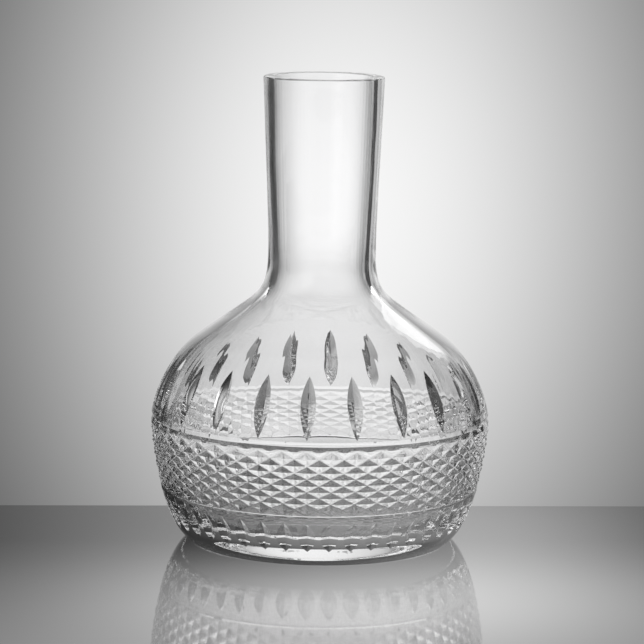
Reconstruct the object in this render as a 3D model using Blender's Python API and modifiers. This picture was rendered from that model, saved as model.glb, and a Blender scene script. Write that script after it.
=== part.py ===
"""A cut crystal decanter: one gather of clear glass, blown to a carafe shape, then cut and polished.

Metres, +Z up. The origin is the centre of the flat underside, and the object stands on z = 0.
The outline is turned about Z. One shoulder flute lies in the -Y direction.
"""

import math

import bmesh
import bpy
from mathutils import Matrix, Vector

# Driving dimensions, metres
HEIGHT = 0.2350
RIM_RADIUS = 0.0306
RIM_EDGE = 0.0008
LIP_HEIGHT = 0.2335
NECK_RADIUS = 0.0271
NECK_WAIST_HEIGHT = 0.1488
SHOULDER_RADIUS = 0.0631
SHOULDER_HEIGHT = 0.1030
SHOULDER_FALL = math.radians(37)
BELLY_RADIUS = 0.0858
BELLY_HEIGHT = 0.0605
HEEL_RADIUS = 0.0669
HEEL_HEIGHT = 0.0010
HEEL_RISE = math.radians(33.6)
FOOT_RADIUS = 0.0645

# Lengths of the outline curves' handles, (above, below) each point, and at their ends
LIP_HANDLE = (-0.0010, -0.0250)
WAIST_HANDLES = (0.0130, 0.0266)
TURN_HANDLES = (0.0392, 0.0190)
BELLY_HANDLES = (0.0092, 0.0078)
HEEL_HANDLE = 0.0167

# The blown inside
BORE_RADIUS = 0.0252
BORE_WAIST_RADIUS = 0.0220
BORE_WAIST_HEIGHT = 0.1385
SHOULDER_WALL = 0.0045
BELLY_WALL = 0.0060
FLOOR_HEIGHT = 0.0110
FLOOR_RADIUS = 0.0560
FLOOR_DOME = 0.0010
BORE_LIP_HANDLE = (-0.0009, -0.0550)
BORE_WAIST_HANDLES = (0.0100, 0.0160)
BORE_TURN_HANDLES = (0.0300, 0.0180)
BORE_BELLY_HANDLES = (0.0120, 0.0270)
FLOOR_HANDLE = 0.0170

# The cutting pattern
SHOULDER_FLUTES = 22
DIAMONDS_ROUND = 2 * SHOULDER_FLUTES
COLUMNS = 2 * DIAMONDS_ROUND
HALF_ROWS = 10
BAND_TOP = 0.0604
BAND_BOTTOM = 0.0282
ROW_TAPER = 0.80
DIAMOND_DEPTH = 0.0011
EDGE_DEPTH = 0.0004
UPPER_RING_WIDTH = 0.0048
UPPER_RING_DEPTH = 0.0010
LOWER_RING_WIDTH = 0.0016
LOWER_RING_DEPTH = 0.0006

# A mitre wheel's cut: (middle height, depth, wheel radius, half of the V angle, wheel facets)
SHOULDER_CUT = (0.0812, 0.0029, 0.130, math.radians(53), 80)
BASE_CUT = (0.0160, 0.0019, 0.024, math.radians(67), 36)
BLADE_DEPTH = 0.0055

# How finely the outlines are followed: rows on each curve, then below the band, and turns of the bore
OUTER_ROWS = (4, 6, 7, 1)
INNER_ROWS = (4, 6, 5, 6)
BASE_ROWS = 5
BORE_STEPS = 44
OUTLINE_SAMPLES = 60
RING_CLEARANCE = 0.0020
PLUG_ABOVE = 0.0100
TOO_NEAR = 1e-6
ON_ROW = 1e-5
FACET_ANGLE = math.radians(14)


def clear_scene():
    for obj in list(bpy.data.objects):
        bpy.data.objects.remove(obj, do_unlink=True)


def new_collection(name, hidden=False):
    made = bpy.data.collections.new(name)
    bpy.context.scene.collection.children.link(made)
    made.hide_render = hidden
    return made


# ---------------------------------------------------------------- outlines


def bezier(start, leave, arrive, end, pieces):
    """Points along a cubic curve, its start included and its end left out."""
    points = []
    for step in range(pieces):
        t = step / pieces
        u = 1 - t
        points.append(
            u**3 * start + 3 * u * u * t * leave + 3 * u * t * t * arrive + t**3 * end
        )
    return points


def sloping(angle):
    return Vector((math.cos(angle), -math.sin(angle)))


def outer_curves(neck, flare, shoulder, bowl):
    """The uncut outside from the lip to the heel, as (radius, height) points."""
    lip = Vector((RIM_RADIUS - RIM_EDGE / 4, LIP_HEIGHT))
    waist = Vector((NECK_RADIUS, NECK_WAIST_HEIGHT))
    turn = Vector((SHOULDER_RADIUS, SHOULDER_HEIGHT))
    belly = Vector((BELLY_RADIUS, BELLY_HEIGHT))
    heel = Vector((HEEL_RADIUS, HEEL_HEIGHT))
    down = Vector((0, -1))
    fall = sloping(SHOULDER_FALL)
    rise = sloping(-HEEL_RISE)
    lean, (above_waist, below_waist) = Vector(LIP_HANDLE), WAIST_HANDLES
    above_turn, below_turn = TURN_HANDLES
    above_belly, below_belly = BELLY_HANDLES
    points = bezier(lip, lip + lean, waist - above_waist * down, waist, neck)
    points += bezier(waist, waist + below_waist * down, turn - above_turn * fall, turn, flare)
    points += bezier(turn, turn + below_turn * fall, belly - above_belly * down, belly, shoulder)
    points += bezier(belly, belly + below_belly * down, heel + HEEL_HANDLE * rise, heel, bowl)
    return points + [heel]


def inner_curves(neck, flare, shoulder, bowl):
    """The blown inside from just under the rim to the middle of the floor."""
    lip = Vector((BORE_RADIUS, LIP_HEIGHT))
    waist = Vector((BORE_WAIST_RADIUS, BORE_WAIST_HEIGHT))
    fall = sloping(SHOULDER_FALL)
    inward = Vector((fall.y, -fall.x))
    turn = Vector((SHOULDER_RADIUS, SHOULDER_HEIGHT)) + SHOULDER_WALL * inward
    belly = Vector((BELLY_RADIUS - BELLY_WALL, BELLY_HEIGHT))
    floor = Vector((FLOOR_RADIUS, FLOOR_HEIGHT))
    down = Vector((0, -1))
    lean, (above_waist, below_waist) = Vector(BORE_LIP_HANDLE), BORE_WAIST_HANDLES
    above_turn, below_turn = BORE_TURN_HANDLES
    above_belly, below_belly = BORE_BELLY_HANDLES
    outward = Vector((FLOOR_HANDLE, 0))
    points = bezier(lip, lip + lean, waist - above_waist * down, waist, neck)
    points += bezier(waist, waist + below_waist * down, turn - above_turn * fall, turn, flare)
    points += bezier(turn, turn + below_turn * fall, belly - above_belly * down, belly, shoulder)
    points += bezier(belly, belly + below_belly * down, floor + outward, floor, bowl)
    return points + [floor, Vector((0, FLOOR_HEIGHT + FLOOR_DOME))]


def outer_radius(height):
    """The uncut outside's radius at a height."""
    points = outer_curves(*[OUTLINE_SAMPLES] * 4)
    for above, below in zip(points, points[1:]):
        if below.y <= height <= above.y:
            share = (above.y - height) / (above.y - below.y)
            return above.x + share * (below.x - above.x)
    raise ValueError(f"no outline at height {height}")


def outer_normal(height):
    """The outside's unit normal at a height, as (outward, up)."""
    span = 0.001
    run = outer_radius(height + span) - outer_radius(height - span)
    return Vector((2 * span, -run)).normalized()


def band_heights():
    """Heights of the lines of groove crossings. The rows get lower towards the foot."""
    weights = []
    for row in range(HALF_ROWS):
        weights.append(1 + (ROW_TAPER - 1) * row / (HALF_ROWS - 1))
    heights = [BAND_TOP]
    for weight in weights:
        heights.append(heights[-1] - (BAND_TOP - BAND_BOTTOM) * weight / sum(weights))
    return heights


def body_outline():
    """The whole outside from the axis at the rim to the axis under the foot, rings cut in."""
    outline = [Vector((0, HEIGHT)), Vector((RIM_RADIUS - RIM_EDGE, HEIGHT))]
    outline.append(Vector((RIM_RADIUS - RIM_EDGE / 4, HEIGHT - RIM_EDGE / 2)))
    ring_top = BAND_TOP + UPPER_RING_WIDTH
    ring_foot = BAND_BOTTOM - LOWER_RING_WIDTH
    outline += [p for p in outer_curves(*OUTER_ROWS) if p.y > ring_top + RING_CLEARANCE]
    outline.append(Vector((outer_radius(ring_top), ring_top)))
    valley = BAND_TOP + UPPER_RING_WIDTH / 2
    outline.append(Vector((outer_radius(valley) - UPPER_RING_DEPTH, valley)))
    outline += [Vector((outer_radius(z), z)) for z in band_heights()]
    valley = BAND_BOTTOM - LOWER_RING_WIDTH / 2
    outline.append(Vector((outer_radius(valley) - LOWER_RING_DEPTH, valley)))
    outline.append(Vector((outer_radius(ring_foot), ring_foot)))
    for row in range(1, BASE_ROWS):
        height = ring_foot + (HEEL_HEIGHT - ring_foot) * row / BASE_ROWS
        outline.append(Vector((outer_radius(height), height)))
    outline.append(Vector((HEEL_RADIUS, HEEL_HEIGHT)))
    return outline + [Vector((FOOT_RADIUS, 0)), Vector((0, 0))]


def bore_outline():
    """The inside as a plug that stands out of the rim, whose inner edge it rounds."""
    above = HEIGHT + PLUG_ABOVE
    mouth = BORE_RADIUS + RIM_EDGE
    outline = [Vector((0, above)), Vector((mouth, above)), Vector((mouth, HEIGHT))]
    outline.append(Vector((BORE_RADIUS + RIM_EDGE / 4, HEIGHT - RIM_EDGE / 2)))
    return outline + inner_curves(*INNER_ROWS)


# ---------------------------------------------------------------- solids


def turned_mesh(name, outline, steps):
    """A closed solid of revolution about Z, from an outline that runs top to bottom."""
    profile = bpy.data.meshes.new(name + "_outline")
    edges = [(i, i + 1) for i in range(len(outline) - 1)]
    profile.from_pydata([(p.x, 0, p.y) for p in outline], edges, [])
    guide = bpy.data.objects.new(name + "_guide", profile)
    bpy.context.scene.collection.objects.link(guide)
    screw = guide.modifiers.new("turn", "SCREW")
    screw.steps = steps
    screw.render_steps = steps
    screw.use_merge_vertices = True
    screw.merge_threshold = TOO_NEAR
    graph = bpy.context.evaluated_depsgraph_get()
    mesh = bpy.data.meshes.new_from_object(guide.evaluated_get(graph))
    mesh.name = name
    bpy.data.objects.remove(guide, do_unlink=True)
    bpy.data.meshes.remove(profile)
    return mesh


def column_of(point):
    """Which of the pattern's columns a point lies on, counted from +X."""
    turn = math.atan2(point.y, point.x) / (2 * math.pi)
    return round(turn * COLUMNS) % COLUMNS


def cut_diamonds(mesh):
    """Sinks every second crossing of the band and folds each quad along its groove."""
    rows = band_heights()
    form = bmesh.new()
    form.from_mesh(mesh)
    sunk = set()
    in_band = {}
    for vert in form.verts:
        near = [i for i, z in enumerate(rows) if abs(vert.co.z - z) < ON_ROW]
        if not near or vert.co.xy.length < BELLY_RADIUS / 2:
            continue
        in_band[vert] = near[0]
        if (near[0] + column_of(vert.co)) % 2 == 0:
            sunk.add(vert)
    for face in list(form.faces):
        deep = [v for v in face.verts if v in sunk]
        if len(deep) == 2 and all(v in in_band for v in face.verts):
            bmesh.ops.connect_verts(form, verts=deep)
    for vert in sunk:
        at_edge = in_band[vert] in (0, HALF_ROWS)
        depth = EDGE_DEPTH if at_edge else DIAMOND_DEPTH
        vert.co.xy *= 1 - depth / vert.co.xy.length
    form.to_mesh(mesh)
    form.free()


def mitre_wheel(name, radius, half_angle, steps):
    """A grinding wheel's V-shaped rim on a thin disc."""
    half_width = BLADE_DEPTH * math.tan(half_angle)
    shoulder = radius - BLADE_DEPTH
    outline = [Vector((0, half_width)), Vector((shoulder, half_width))]
    outline += [Vector((radius, 0)), Vector((shoulder, -half_width)), Vector((0, -half_width))]
    return turned_mesh(name, outline, steps)


def wheels_round(name, cut, count, collection):
    """One cutter that holds a wheel for each flute, the first in the -Y direction."""
    height, depth, radius, half_angle, steps = cut
    normal = outer_normal(height)
    away = radius - depth
    reach = outer_radius(height) + away * normal.x
    wheel = mitre_wheel(name + "_wheel", radius, half_angle, steps)
    to_meridian = Matrix.Rotation(math.radians(90), 4, "X")
    form = bmesh.new()
    for index in range(count):
        start = len(form.verts)
        form.from_mesh(wheel)
        form.verts.ensure_lookup_table()
        turn = 2 * math.pi * index / count - math.pi / 2
        place = Matrix.Translation((reach, 0, height + away * normal.y))
        matrix = Matrix.Rotation(turn, 4, "Z") @ place @ to_meridian
        bmesh.ops.transform(form, matrix=matrix, verts=form.verts[start:])
    mesh = bpy.data.meshes.new(name)
    form.to_mesh(mesh)
    form.free()
    bpy.data.meshes.remove(wheel)
    return add_cutter(name, mesh, collection)


def add_cutter(name, mesh, collection):
    cutter = bpy.data.objects.new(name, mesh)
    cutter.hide_render = True
    cutter.display_type = "WIRE"
    collection.objects.link(cutter)
    return cutter


def cut(body, cutter):
    boolean = body.modifiers.new(cutter.name, "BOOLEAN")
    boolean.operation = "DIFFERENCE"
    boolean.solver = "EXACT"
    boolean.object = cutter


# ---------------------------------------------------------------- material


def crystal():
    """Clear, bright-polished crystal."""
    material = bpy.data.materials.new("crystal")
    material.use_nodes = True
    shader = material.node_tree.nodes["Principled BSDF"]
    shader.inputs["Base Color"].default_value = (0.97, 0.98, 0.98, 1)
    shader.inputs["Metallic"].default_value = 0
    shader.inputs["Roughness"].default_value = 0.02
    shader.inputs["IOR"].default_value = 1.53
    shader.inputs["Transmission Weight"].default_value = 1
    return material


# ---------------------------------------------------------------- assembly


def build():
    clear_scene()
    parts = new_collection("cut_crystal_decanter")
    cutters = new_collection("cutters", hidden=True)
    mesh = turned_mesh("crystal_body", body_outline(), COLUMNS)
    cut_diamonds(mesh)
    body = bpy.data.objects.new("crystal_body", mesh)
    parts.objects.link(body)
    cut(body, add_cutter("bore", turned_mesh("bore", bore_outline(), BORE_STEPS), cutters))
    cut(body, wheels_round("shoulder_flutes", SHOULDER_CUT, SHOULDER_FLUTES, cutters))
    cut(body, wheels_round("base_flutes", BASE_CUT, DIAMONDS_ROUND, cutters))
    mesh.materials.append(crystal())
    mesh.shade_smooth()
    mesh.set_sharp_from_angle(angle=FACET_ANGLE)


build()
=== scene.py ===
"""The finished look of the cut crystal decanter: clear glass, a glossy table and soft studio light.

Metres, +Z up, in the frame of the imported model. The glass is turned as one closed skin, inside and
outside together, and then cut with mitre wheels as a glass cutter does.
"""

import math

import bpy
from mathutils import Matrix, Vector


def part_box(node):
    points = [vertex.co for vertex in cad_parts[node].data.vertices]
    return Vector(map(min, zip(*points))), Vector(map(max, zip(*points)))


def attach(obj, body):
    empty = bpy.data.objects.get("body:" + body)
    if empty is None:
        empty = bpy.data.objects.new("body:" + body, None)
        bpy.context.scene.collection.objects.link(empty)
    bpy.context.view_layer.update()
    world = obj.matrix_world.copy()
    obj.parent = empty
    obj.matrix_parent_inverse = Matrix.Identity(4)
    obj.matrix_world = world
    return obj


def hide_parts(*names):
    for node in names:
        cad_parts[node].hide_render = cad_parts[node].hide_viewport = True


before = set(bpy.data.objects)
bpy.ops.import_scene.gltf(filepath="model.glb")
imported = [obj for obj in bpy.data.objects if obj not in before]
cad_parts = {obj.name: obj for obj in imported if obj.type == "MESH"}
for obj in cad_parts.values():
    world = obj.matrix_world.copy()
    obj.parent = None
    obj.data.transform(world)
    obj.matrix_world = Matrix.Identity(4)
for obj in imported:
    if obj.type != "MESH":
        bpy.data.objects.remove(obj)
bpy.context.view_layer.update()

NODE = "crystal_body"
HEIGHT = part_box(NODE)[1].z

# The outline, metres: the same driving dimensions as the solid part
RIM_RADIUS = 0.0306
RIM_EDGE = 0.0008
LIP_HEIGHT = HEIGHT - 0.0015
NECK_RADIUS = 0.0271
NECK_WAIST_HEIGHT = 0.1488
SHOULDER_RADIUS = 0.0631
SHOULDER_HEIGHT = 0.1030
SHOULDER_FALL = math.radians(37)
BELLY_RADIUS = 0.0858
BELLY_HEIGHT = 0.0605
HEEL_RADIUS = 0.0669
HEEL_HEIGHT = 0.0010
HEEL_RISE = math.radians(33.6)
HEEL_BULGE = (0.0004, -0.0002)
FOOT_RADIUS = 0.0645

# Lengths of the outline curves' handles, (above, below) each point, and at their ends
LIP_HANDLE = (-0.0010, -0.0250)
WAIST_HANDLES = (0.0130, 0.0266)
TURN_HANDLES = (0.0392, 0.0190)
BELLY_HANDLES = (0.0092, 0.0078)
HEEL_HANDLE = 0.0167

# The blown inside
BORE_RADIUS = 0.0252
BORE_WAIST_RADIUS = 0.0220
BORE_WAIST_HEIGHT = 0.1385
SHOULDER_WALL = 0.0045
BELLY_WALL = 0.0060
FLOOR_HEIGHT = 0.0110
FLOOR_RADIUS = 0.0560
FLOOR_DOME = 0.0010
BORE_LIP_HANDLE = (-0.0009, -0.0550)
BORE_WAIST_HANDLES = (0.0100, 0.0160)
BORE_TURN_HANDLES = (0.0300, 0.0180)
BORE_BELLY_HANDLES = (0.0120, 0.0270)
FLOOR_HANDLE = 0.0170

# The cutting pattern
SHOULDER_FLUTES = 22
DIAMONDS_ROUND = 2 * SHOULDER_FLUTES
CELLS_ROUND = 2 * DIAMONDS_ROUND
HALF_ROWS = 10
BAND_TOP = 0.0604
BAND_BOTTOM = 0.0282
ROW_TAPER = 0.80
DIAMOND_DEPTH = 0.0011
EDGE_DEPTH = 0.0004
UPPER_RING_WIDTH = 0.0048
UPPER_RING_DEPTH = 0.0010
LOWER_RING_WIDTH = 0.0016
LOWER_RING_DEPTH = 0.0006

# The rounded bottom of the diamonds' grooves: how wide it is and how deep its edge lies, as shares,
# and the points across a cell that it needs
VALLEY_SHARE = 0.12
VALLEY_LEVEL = 0.95
CELL_SHARES = (0, VALLEY_SHARE, 0.5, 1 - VALLEY_SHARE)

# A mitre wheel's cut: (middle height, depth, wheel radius, half of the V angle, half of the swept arc)
SHOULDER_CUT = (0.0812, 0.0029, 0.130, math.radians(53), math.radians(11))
BASE_CUT = (0.0160, 0.0019, 0.024, math.radians(67), math.radians(34))
BLADE_DEPTH = 0.0055
BLADE_STEPS = 28
FACET_ANGLE = math.radians(12)

# How finely the turned outline is followed, rows on each curve
OUTER_ROWS = (24, 28, 20, 1)
INNER_ROWS = (18, 24, 16, 22)
BASE_ROWS = 20
FLOOR_ROWS = 8
RIM_ROWS = 6
RING_ROWS = 3
RING_CLEARANCE = 0.0005
FOOT_SHARES = (1, 0.9, 0.6, 0.3, 0)
OUTLINE_SAMPLES = 60
NORMAL_SPAN = 0.001

# The camera, 1.5 m away, level with the shoulder and tipped down
CAMERA_DISTANCE = 1.4976
CAMERA_PITCH = math.radians(8.934)
CAMERA_TURN = math.radians(4.09)
CAMERA_ROLL = math.radians(0.751)
CAMERA_AIM = 0.1105
LENS = 165.6
SHIFT_X = 0.0014


# ---------------------------------------------------------------- outlines


def bezier(start, leave, arrive, end, pieces):
    """Points along a cubic curve, its start included and its end left out."""
    points = []
    for step in range(pieces):
        t = step / pieces
        u = 1 - t
        points.append(
            u**3 * start + 3 * u * u * t * leave + 3 * u * t * t * arrive + t**3 * end
        )
    return points


def sloping(angle):
    return Vector((math.cos(angle), -math.sin(angle)))


def outer_curves(neck, flare, shoulder, bowl):
    """The uncut outside from the lip to the heel, as (radius, height) points."""
    lip = Vector((RIM_RADIUS - RIM_EDGE / 4, LIP_HEIGHT))
    waist = Vector((NECK_RADIUS, NECK_WAIST_HEIGHT))
    turn = Vector((SHOULDER_RADIUS, SHOULDER_HEIGHT))
    belly = Vector((BELLY_RADIUS, BELLY_HEIGHT))
    heel = Vector((HEEL_RADIUS, HEEL_HEIGHT))
    down = Vector((0, -1))
    fall = sloping(SHOULDER_FALL)
    rise = sloping(-HEEL_RISE)
    lean, (above_waist, below_waist) = Vector(LIP_HANDLE), WAIST_HANDLES
    above_turn, below_turn = TURN_HANDLES
    above_belly, below_belly = BELLY_HANDLES
    points = bezier(lip, lip + lean, waist - above_waist * down, waist, neck)
    points += bezier(waist, waist + below_waist * down, turn - above_turn * fall, turn, flare)
    points += bezier(turn, turn + below_turn * fall, belly - above_belly * down, belly, shoulder)
    points += bezier(belly, belly + below_belly * down, heel + HEEL_HANDLE * rise, heel, bowl)
    return points + [heel]


def inner_curves(neck, flare, shoulder, bowl):
    """The blown inside from just under the rim to the edge of the floor."""
    lip = Vector((BORE_RADIUS, LIP_HEIGHT))
    waist = Vector((BORE_WAIST_RADIUS, BORE_WAIST_HEIGHT))
    fall = sloping(SHOULDER_FALL)
    inward = Vector((fall.y, -fall.x))
    turn = Vector((SHOULDER_RADIUS, SHOULDER_HEIGHT)) + SHOULDER_WALL * inward
    belly = Vector((BELLY_RADIUS - BELLY_WALL, BELLY_HEIGHT))
    floor = Vector((FLOOR_RADIUS, FLOOR_HEIGHT))
    down = Vector((0, -1))
    lean, (above_waist, below_waist) = Vector(BORE_LIP_HANDLE), BORE_WAIST_HANDLES
    above_turn, below_turn = BORE_TURN_HANDLES
    above_belly, below_belly = BORE_BELLY_HANDLES
    outward = Vector((FLOOR_HANDLE, 0))
    points = bezier(lip, lip + lean, waist - above_waist * down, waist, neck)
    points += bezier(waist, waist + below_waist * down, turn - above_turn * fall, turn, flare)
    points += bezier(turn, turn + below_turn * fall, belly - above_belly * down, belly, shoulder)
    points += bezier(belly, belly + below_belly * down, floor + outward, floor, bowl)
    return points


OUTLINE = outer_curves(*[OUTLINE_SAMPLES] * 4)


def outer_radius(height):
    """The uncut outside's radius at a height."""
    for above, below in zip(OUTLINE, OUTLINE[1:]):
        if below.y <= height <= above.y:
            share = (above.y - height) / (above.y - below.y)
            return above.x + share * (below.x - above.x)
    raise ValueError(f"no outline at height {height}")


def outer_normal(height):
    """The outside's unit normal at a height, as (outward, up)."""
    run = outer_radius(height + NORMAL_SPAN) - outer_radius(height - NORMAL_SPAN)
    return Vector((2 * NORMAL_SPAN, -run)).normalized()


def band_heights():
    """Heights of the lines of groove crossings. The rows get lower towards the foot."""
    weights = []
    for row in range(HALF_ROWS):
        weights.append(1 + (ROW_TAPER - 1) * row / (HALF_ROWS - 1))
    heights = [BAND_TOP]
    for weight in weights:
        heights.append(heights[-1] - (BAND_TOP - BAND_BOTTOM) * weight / sum(weights))
    return heights


BAND_HEIGHTS = band_heights()


def between(low, high, pieces):
    """Evenly spaced values from low towards high, low included and high left out."""
    return [low + (high - low) * step / pieces for step in range(pieces)]


def ring_cut(top, width, depth):
    """A V groove round the body: its upper edge, walls and valley, without its lower edge."""
    foot = top - width
    valley = top - width / 2
    edge = outer_radius(top)
    bottom = outer_radius(valley) - depth
    end = outer_radius(foot)
    upper = zip(between(edge, bottom, RING_ROWS), between(top, valley, RING_ROWS))
    lower = zip(between(bottom, end, RING_ROWS), between(valley, foot, RING_ROWS))
    return [Vector(p) for p in [*upper, *lower]]


def inside_outline():
    """From the middle of the floor outwards and up to just under the rim."""
    floor = Vector((FLOOR_RADIUS, FLOOR_HEIGHT))
    centre = Vector((0, FLOOR_HEIGHT + FLOOR_DOME))
    rising = inner_curves(*INNER_ROWS)
    flat = []
    for step in range(1, FLOOR_ROWS + 1):
        share = step / FLOOR_ROWS
        drop = FLOOR_DOME * (1 - math.cos(share * math.pi)) / 2
        flat.append(Vector((floor.x * share, centre.y - drop)))
    return [centre, *flat, *reversed(rising)]


def rim_outline():
    """Over the fire-polished rim, from the bore to the outside."""
    left = Vector((BORE_RADIUS, LIP_HEIGHT))
    right = Vector((RIM_RADIUS - RIM_EDGE / 4, LIP_HEIGHT))
    middle = (left.x + right.x) / 2
    half = (right.x - left.x) / 2
    points = []
    for step in range(1, 2 * RIM_ROWS):
        angle = math.pi * step / (2 * RIM_ROWS)
        lift = math.sin(angle) ** (1 / 2)
        points.append(Vector((middle - half * math.cos(angle), LIP_HEIGHT + (HEIGHT - LIP_HEIGHT) * lift)))
    return points


def upper_outside():
    """Down the outside from the rim to the foot of the upper ring, where the band starts."""
    ring_top = BAND_TOP + UPPER_RING_WIDTH
    outline = [p for p in outer_curves(*OUTER_ROWS) if p.y > ring_top + RING_CLEARANCE]
    return outline + ring_cut(ring_top, UPPER_RING_WIDTH, UPPER_RING_DEPTH)


def lower_outside():
    """From under the band down to the heel and in along the flat underside."""
    ring_foot = BAND_BOTTOM - LOWER_RING_WIDTH
    outline = ring_cut(BAND_BOTTOM, LOWER_RING_WIDTH, LOWER_RING_DEPTH)[1:]
    outline += [Vector((outer_radius(z), z)) for z in between(ring_foot, HEEL_HEIGHT, BASE_ROWS)]
    heel = Vector((HEEL_RADIUS, HEEL_HEIGHT))
    foot = Vector((FOOT_RADIUS, 0))
    outline += [heel, heel.lerp(foot, 0.5) + Vector(HEEL_BULGE)]
    return outline + [foot * share for share in FOOT_SHARES]


# ---------------------------------------------------------------- the glass body


class Skin:
    """The points and faces of the glass, grown ring after ring from the middle of the floor."""

    def __init__(self):
        self.points = []
        self.faces = []

    def add(self, point):
        self.points.append(point)
        return len(self.points) - 1

    def ring(self, radius, height):
        """A ring of points, or a single point on the axis."""
        if radius == 0:
            return [self.add((0, 0, height))]
        made = []
        for cell in range(CELLS_ROUND):
            for share in CELL_SHARES:
                turn = 2 * math.pi * (cell + share) / CELLS_ROUND
                made.append(self.add((radius * math.cos(turn), radius * math.sin(turn), height)))
        return made

    def join(self, upper, lower):
        """Faces between two rings, the first nearer to the start of the outline."""
        count = max(len(upper), len(lower))
        for column in range(count):
            after = (column + 1) % count
            if len(upper) == 1:
                self.faces.append((upper[0], lower[column], lower[after]))
            elif len(lower) == 1:
                self.faces.append((upper[column], lower[0], upper[after]))
            else:
                self.faces.append((upper[column], lower[column], lower[after], upper[after]))

    def turn(self, outline, first=None):
        """Rings along an outline, joined to each other and to the one before; gives the last."""
        for radius, height in outline:
            ring = self.ring(radius, height)
            if first:
                self.join(first, ring)
            first = ring
        return first


def groove_share(share):
    """How deep a groove's side is, as a share of its valley, at a share of the way to the next point."""
    if share <= VALLEY_SHARE:
        return 1 - (1 - VALLEY_LEVEL) * share / VALLEY_SHARE
    return VALLEY_LEVEL * (1 - share) / (1 - VALLEY_SHARE)


def band_point(row, column, down, along):
    """A point on an edge of the band's pattern: a share down or along from a crossing of the grid."""
    start = (row, column)
    end = (row + (down > 0), column + (along > 0))
    share = down or along
    corners = []
    for crossing_row, crossing_column in (start, end):
        turn = 2 * math.pi * crossing_column / CELLS_ROUND
        height = BAND_HEIGHTS[crossing_row]
        outward = Vector((math.cos(turn), math.sin(turn), 0))
        corners.append(outward * outer_radius(height) + Vector((0, 0, height)))
    sunk_first = (row + column) % 2 == 0
    sunk_row = start[0] if sunk_first else end[0]
    depth = EDGE_DEPTH if sunk_row in (0, HALF_ROWS) else DIAMOND_DEPTH
    place = corners[0].lerp(corners[1], share)
    inward = Vector((place.x, place.y, 0)).normalized()
    return place - inward * depth * groove_share(share if sunk_first else 1 - share)


class Band:
    """The band's points, made once each and shared by the cells that meet there."""

    def __init__(self, skin):
        self.skin = skin
        self.known = {}

    def at(self, row, column, down=0, along=0):
        column %= CELLS_ROUND
        key = (row, column, down, along)
        if key not in self.known:
            self.known[key] = self.skin.add(band_point(row, column, down, along))
        return self.known[key]

    def line(self, row):
        """A whole line of the pattern, as a ring."""
        return [self.at(row, c, along=share) for c in range(CELLS_ROUND) for share in CELL_SHARES]

    def cell(self, row, column):
        """Two facets and the two sides of the groove between them."""
        near, middle, far = CELL_SHARES[1:]
        top = {share: self.at(row, column, along=share) for share in CELL_SHARES}
        bottom = {share: self.at(row + 1, column, along=share) for share in CELL_SHARES}
        left = {share: self.at(row, column, down=share) for share in CELL_SHARES}
        right = {share: self.at(row, column + 1, down=share) for share in CELL_SHARES}
        top[1] = right[0]
        bottom[1] = self.at(row + 1, column + 1)
        if (row + column) % 2 == 0:
            return [
                (top[0], bottom[1], right[far], top[near]),
                (top[0], left[near], bottom[far], bottom[1]),
                (right[far], right[middle], right[near], top[1], top[far], top[middle], top[near]),
                (left[near], left[middle], left[far], bottom[0], bottom[near], bottom[middle], bottom[far]),
            ]
        return [
            (top[1], top[far], left[far], bottom[0]),
            (top[1], bottom[0], bottom[near], right[near]),
            (top[0], left[near], left[middle], left[far], top[far], top[middle], top[near]),
            (bottom[near], bottom[middle], bottom[far], bottom[1], right[far], right[middle], right[near]),
        ]


def body_mesh():
    skin = Skin()
    upper = [*inside_outline(), *rim_outline(), *upper_outside()]
    last = skin.turn(upper)
    band = Band(skin)
    skin.join(last, band.line(0))
    for row in range(HALF_ROWS):
        for column in range(CELLS_ROUND):
            skin.faces += band.cell(row, column)
    skin.turn(lower_outside(), band.line(HALF_ROWS))
    mesh = bpy.data.meshes.new("crystal")
    mesh.from_pydata(skin.points, [], skin.faces)
    mesh.validate()
    return mesh


def blade_points(radius, half_angle, half_arc):
    """A V-shaped rim swept over an arc of the wheel, in the XY plane, facing -X."""
    half_width = BLADE_DEPTH * math.tan(half_angle)
    shoulder = radius - BLADE_DEPTH
    points = []
    for step in range(BLADE_STEPS + 1):
        angle = math.pi - half_arc + 2 * half_arc * step / BLADE_STEPS
        out = Vector((math.cos(angle), math.sin(angle), 0))
        up = Vector((0, 0, half_width))
        points += [out * radius, out * shoulder + up, out * shoulder - up]
    return points


def blade_faces():
    faces = [(0, 1, 2)]
    for step in range(BLADE_STEPS):
        start = 3 * step
        for side in range(3):
            following = (side + 1) % 3
            faces.append((start + side, start + 3 + side, start + 3 + following, start + following))
    last = 3 * BLADE_STEPS
    return faces + [(last, last + 2, last + 1)]


def blades_round(name, cut, count):
    """One cutter that holds a blade for each flute, the first in the -Y direction."""
    height, depth, radius, half_angle, half_arc = cut
    normal = outer_normal(height)
    away = radius - depth
    reach = outer_radius(height) + away * normal.x
    lean = Matrix.Rotation(-math.atan2(normal.y, normal.x), 4, "Y")
    to_meridian = Matrix.Rotation(math.radians(90), 4, "X")
    place = Matrix.Translation((reach, 0, height + away * normal.y))
    points = []
    faces = []
    for index in range(count):
        turn = Matrix.Rotation(2 * math.pi * index / count - math.pi / 2, 4, "Z")
        matrix = turn @ place @ lean @ to_meridian
        start = len(points)
        points += [matrix @ p for p in blade_points(radius, half_angle, half_arc)]
        faces += [tuple(start + corner for corner in face) for face in blade_faces()]
    mesh = bpy.data.meshes.new(name)
    mesh.from_pydata(points, [], faces)
    return bpy.data.objects.new(name, mesh)


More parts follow.
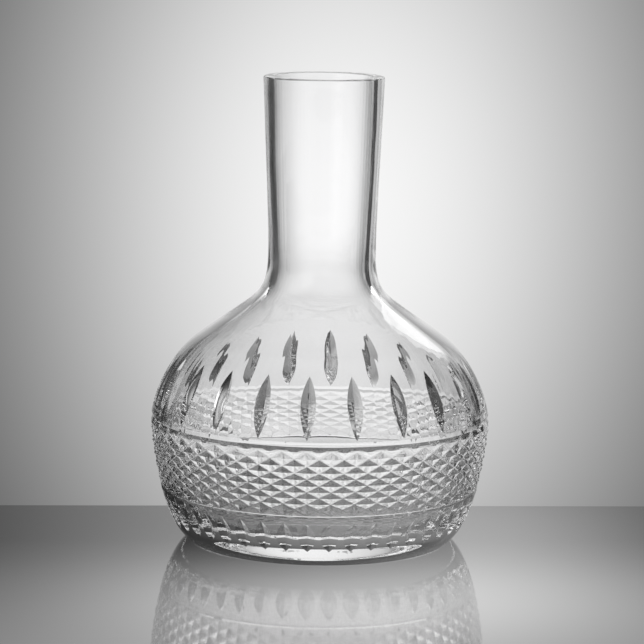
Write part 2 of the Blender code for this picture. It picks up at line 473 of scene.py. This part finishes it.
def cut_flutes(body, cutters):
    """Cuts the flutes with exact Booleans and keeps the result as the body's own mesh."""
    for cutter in cutters:
        bpy.context.scene.collection.objects.link(cutter)
        boolean = body.modifiers.new(cutter.name, "BOOLEAN")
        boolean.operation = "DIFFERENCE"
        boolean.solver = "EXACT"
        boolean.object = cutter
    graph = bpy.context.evaluated_depsgraph_get()
    body.data = bpy.data.meshes.new_from_object(body.evaluated_get(graph))
    body.modifiers.clear()
    for cutter in cutters:
        bpy.data.objects.remove(cutter, do_unlink=True)


def crystal_piece():
    """The whole decanter, in place of the plain solid."""
    piece = bpy.data.objects.new("crystal", body_mesh())
    bpy.context.scene.collection.objects.link(piece)
    shoulder = blades_round("shoulder_flutes", SHOULDER_CUT, SHOULDER_FLUTES)
    base = blades_round("base_flutes", BASE_CUT, DIAMONDS_ROUND)
    cut_flutes(piece, [shoulder, base])
    piece.data.materials.clear()
    piece.data.materials.append(crystal_glass())
    piece.data.shade_smooth()
    piece.data.set_sharp_from_angle(angle=FACET_ANGLE)
    weighted = piece.modifiers.new("even_normals", "WEIGHTED_NORMAL")
    weighted.keep_sharp = True
    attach(piece, "root")
    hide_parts(NODE)
    return piece


# ---------------------------------------------------------------- materials


def new_material(name):
    material = bpy.data.materials.new(name)
    material.use_nodes = True
    nodes = material.node_tree.nodes
    return material, nodes, material.node_tree.links, nodes["Principled BSDF"]


def crystal_glass():
    """Clear crystal: polished, with the faint waviness of blown glass."""
    material, nodes, links, shader = new_material("crystal")
    shader.inputs["Base Color"].default_value = (0.998, 0.998, 1.0, 1)
    shader.inputs["Roughness"].default_value = 0.0
    shader.inputs["IOR"].default_value = 1.53
    shader.inputs["Transmission Weight"].default_value = 1
    place = nodes.new("ShaderNodeTexCoord")
    waves = nodes.new("ShaderNodeTexNoise")
    waves.inputs["Scale"].default_value = 38
    waves.inputs["Detail"].default_value = 1
    bump = nodes.new("ShaderNodeBump")
    bump.inputs["Strength"].default_value = 0.25
    bump.inputs["Distance"].default_value = 0.0006
    links.new(place.outputs["Object"], waves.inputs["Vector"])
    links.new(waves.outputs["Fac"], bump.inputs["Height"])
    links.new(bump.outputs["Normal"], shader.inputs["Normal"])
    return material


# ---------------------------------------------------------------- stage, light and camera

# The table's top: it is turned a little against the camera, and its back edge shows behind the glass
TABLE_TURN = math.radians(7.06)
TABLE_BACK = 0.070
TABLE_FRONT = -0.60
TABLE_WIDTH = 2.4
TABLE_DEPTH = 2.0
TABLE_THICKNESS = 0.030
# Painted light on the table's top, glowing in emission, darker at the back and paler towards the front:
# (share of the way from its back edge to the front, level)
TABLE_PAINTED_LIGHT = ((0.0, 0.0), (0.12, 0.0), (0.18, 0.02), (0.30, 0.075), (0.41, 0.14), (1.0, 0.80))
# Painted pools of light on the table in front of the glass and at its right, glowing in emission: (centre,
# size, level)
TABLE_PAINTED_POOLS = (
    ((0.030, -0.132), (0.090, 0.064), 0.31),
    ((0.095, 0.005), (0.055, 0.085), 0.12),
)
# The backdrop stands square to the camera; the places on it are in its own X and Z
BACKDROP_DISTANCE = 0.42
BACKDROP_SIDES = (-0.24, 0.36)
BACKDROP_ENDS = (-0.45, 0.65)
# A painted pool of light on the backdrop, glowing in emission behind the object
GLOW_CENTRE = (0.015, 0.119)
GLOW_SIZE = (0.1435, 0.2065)
GLOW_LEVEL = 0.93
# Painted light at the edges of the backdrop, glowing in emission: (axis, where it starts, where it is full,
# level)
PAINTED_EDGE_GLOW = (("Z", 0.27, 0.33, 1.3), ("X", 0.22, 0.27, 0.40), ("Z", -0.09, -0.18, 0.40))
# Lit parts of the room: (direction, cosine where it starts, cosine where it is full, level)
ROOM_LIGHTS = (
    ((-0.91, -0.42, 0.10), 0.50, 0.90, 1.20),
    ((0.42, -0.91, 0.12), 0.26, 0.87, 0.80),
    ((0.00, 0.00, 1.00), 0.60, 0.95, 0.50),
)
ROOM_LEVEL = 0.04


def flat_panel(name, left, right, low, high):
    """An upright rectangle in the XZ plane, facing -Y."""
    mesh = bpy.data.meshes.new(name)
    corners = [(left, 0, low), (right, 0, low), (right, 0, high), (left, 0, high)]
    mesh.from_pydata(corners, [], [(0, 1, 2, 3)])
    panel = bpy.data.objects.new(name, mesh)
    bpy.context.scene.collection.objects.link(panel)
    return panel


def math_node(tree, operation, first, second=None):
    """A Math node whose inputs are sockets or numbers; gives its output."""
    node = tree.nodes.new("ShaderNodeMath")
    node.operation = operation
    for socket, value in zip(node.inputs, (first, second)):
        if isinstance(value, bpy.types.NodeSocket):
            tree.links.new(value, socket)
        elif value is not None:
            socket.default_value = value
    return node.outputs["Value"]


def soft_step(tree, value, start, full, level):
    """Rises smoothly from nothing at start to a level at full."""
    node = tree.nodes.new("ShaderNodeMapRange")
    node.interpolation_type = "SMOOTHSTEP"
    node.inputs["From Min"].default_value = start
    node.inputs["From Max"].default_value = full
    node.inputs["To Max"].default_value = level
    tree.links.new(value, node.inputs["Value"])
    return node.outputs["Result"]


def soft_edge(tree, value, start, full, level):
    """soft_step that also works towards lower values."""
    if full > start:
        return soft_step(tree, value, start, full, level)
    flipped = math_node(tree, "MULTIPLY", value, -1)
    return soft_step(tree, flipped, -start, -full, level)


def object_axes(tree):
    """The object's own X, Y and Z."""
    place = tree.nodes.new("ShaderNodeTexCoord")
    parts = tree.nodes.new("ShaderNodeSeparateXYZ")
    tree.links.new(place.outputs["Object"], parts.inputs["Vector"])
    return parts.outputs


def soft_pool(tree, sockets, centre, size, level):
    """A pool of light that falls off like a bell round its centre."""
    square = 0
    for socket, middle, spread in zip(sockets, centre, size):
        offset = math_node(tree, "DIVIDE", math_node(tree, "SUBTRACT", socket, middle), spread)
        square = math_node(tree, "ADD", math_node(tree, "POWER", offset, 2), square)
    falloff = math_node(tree, "EXPONENT", math_node(tree, "MULTIPLY", square, -0.5))
    return math_node(tree, "MULTIPLY", falloff, level)


def glow_material():
    """A paper backdrop with painted light: a painted pool of light behind the object and painted lit edges
    out of view, glowing in emission.
    """
    material, nodes, links, shader = new_material("backdrop")
    nodes.remove(shader)
    tree = material.node_tree
    axes = object_axes(tree)
    # The painted pool of light and the painted lit edges, summed into the emission
    total = soft_pool(tree, (axes["X"], axes["Z"]), GLOW_CENTRE, GLOW_SIZE, GLOW_LEVEL)
    for axis, start, full, level in PAINTED_EDGE_GLOW:
        total = math_node(tree, "ADD", total, soft_edge(tree, axes[axis], start, full, level))
    glow = nodes.new("ShaderNodeEmission")
    links.new(total, glow.inputs["Strength"])
    links.new(glow.outputs["Emission"], nodes["Material Output"].inputs["Surface"])
    return material


def add_backdrop():
    panel = flat_panel("backdrop", *BACKDROP_SIDES, *BACKDROP_ENDS)
    panel.rotation_euler.z = CAMERA_TURN
    panel.location = Matrix.Rotation(CAMERA_TURN, 3, "Z") @ Vector((0, BACKDROP_DISTANCE, 0))
    panel.data.materials.append(glow_material())


def table_material():
    """A lacquered top that mirrors, with painted light: its emission glows paler towards the front and in
    pools, in place of the light that falls on it.
    """
    material, nodes, links, shader = new_material("table")
    tree = material.node_tree
    shader.inputs["Base Color"].default_value = (0.02, 0.02, 0.02, 1)
    shader.inputs["Roughness"].default_value = 0.04
    shader.inputs["IOR"].default_value = 1.65
    axes = object_axes(tree)
    # Painted light: the top glows darker at the back and paler towards the front
    along = nodes.new("ShaderNodeMapRange")
    along.inputs["From Min"].default_value = TABLE_BACK
    along.inputs["From Max"].default_value = TABLE_FRONT
    links.new(axes["Y"], along.inputs["Value"])
    ramp = nodes.new("ShaderNodeValToRGB")
    elements = ramp.color_ramp.elements
    while len(elements) < len(TABLE_PAINTED_LIGHT):
        elements.new(0.5)
    for element, (position, level) in zip(elements, TABLE_PAINTED_LIGHT):
        element.position = position
        element.color = (level, level, level, 1)
    links.new(along.outputs["Result"], ramp.inputs["Fac"])
    total = ramp.outputs["Color"]
    # Painted pools of light, added to the painted gradient
    for centre, size, level in TABLE_PAINTED_POOLS:
        total = math_node(tree, "ADD", total, soft_pool(tree, (axes["X"], axes["Y"]), centre, size, level))
    # The table's painted light is its emission
    shader.inputs["Emission Color"].default_value = (1, 1, 1, 1)
    links.new(total, shader.inputs["Emission Strength"])
    return material


def add_table():
    """A slab whose top is the plane that the decanter stands on."""
    half = TABLE_WIDTH / 2
    front = TABLE_BACK - TABLE_DEPTH
    top = [(-half, front, 0), (half, front, 0), (half, TABLE_BACK, 0), (-half, TABLE_BACK, 0)]
    bottom = [(x, y, -TABLE_THICKNESS) for x, y, _ in top]
    sides = [(i, (i + 1) % 4, (i + 1) % 4 + 4, i + 4) for i in range(4)]
    mesh = bpy.data.meshes.new("table")
    mesh.from_pydata(top + bottom, [], [(0, 1, 2, 3), (7, 6, 5, 4), *[s[::-1] for s in sides]])
    table = bpy.data.objects.new("table", mesh)
    bpy.context.scene.collection.objects.link(table)
    table.rotation_euler.z = TABLE_TURN
    mesh.materials.append(table_material())


def add_world():
    """The room: soft light in front and overhead, and dark at both sides."""
    world = bpy.data.worlds.new("room")
    world.use_nodes = True
    bpy.context.scene.world = world
    tree = world.node_tree
    place = tree.nodes.new("ShaderNodeTexCoord")
    total = None
    for direction, start, full, level in ROOM_LIGHTS:
        towards = tree.nodes.new("ShaderNodeVectorMath")
        towards.operation = "DOT_PRODUCT"
        towards.inputs[1].default_value = Vector(direction).normalized()
        tree.links.new(place.outputs["Generated"], towards.inputs[0])
        lit = soft_step(tree, towards.outputs["Value"], start, full, level)
        total = math_node(tree, "ADD", lit, ROOM_LEVEL if total is None else total)
    background = tree.nodes["Background"]
    background.inputs["Color"].default_value = (1, 1, 1, 1)
    tree.links.new(total, background.inputs["Strength"])


def add_camera():
    data = bpy.data.cameras.new("camera")
    data.lens = LENS
    data.shift_x = SHIFT_X
    camera = bpy.data.objects.new("camera", data)
    bpy.context.scene.collection.objects.link(camera)
    flat = CAMERA_DISTANCE * math.cos(CAMERA_PITCH)
    camera.location = (
        flat * math.sin(CAMERA_TURN),
        -flat * math.cos(CAMERA_TURN),
        CAMERA_AIM + CAMERA_DISTANCE * math.sin(CAMERA_PITCH),
    )
    level = Matrix.Rotation(CAMERA_TURN, 4, "Z") @ Matrix.Rotation(math.pi / 2 - CAMERA_PITCH, 4, "X")
    camera.rotation_euler = (level @ Matrix.Rotation(CAMERA_ROLL, 4, "Z")).to_euler()
    bpy.context.scene.camera = camera


def set_light_paths():
    """Enough bounces for light to pass both walls of the bowl and its cuts."""
    cycles = bpy.context.scene.cycles
    cycles.max_bounces = 32
    cycles.transmission_bounces = 32
    cycles.glossy_bounces = 12
    bpy.context.scene.view_settings.view_transform = "Standard"


def build():
    add_camera()
    crystal_piece()
    add_backdrop()
    add_table()
    add_world()
    set_light_paths()


build()
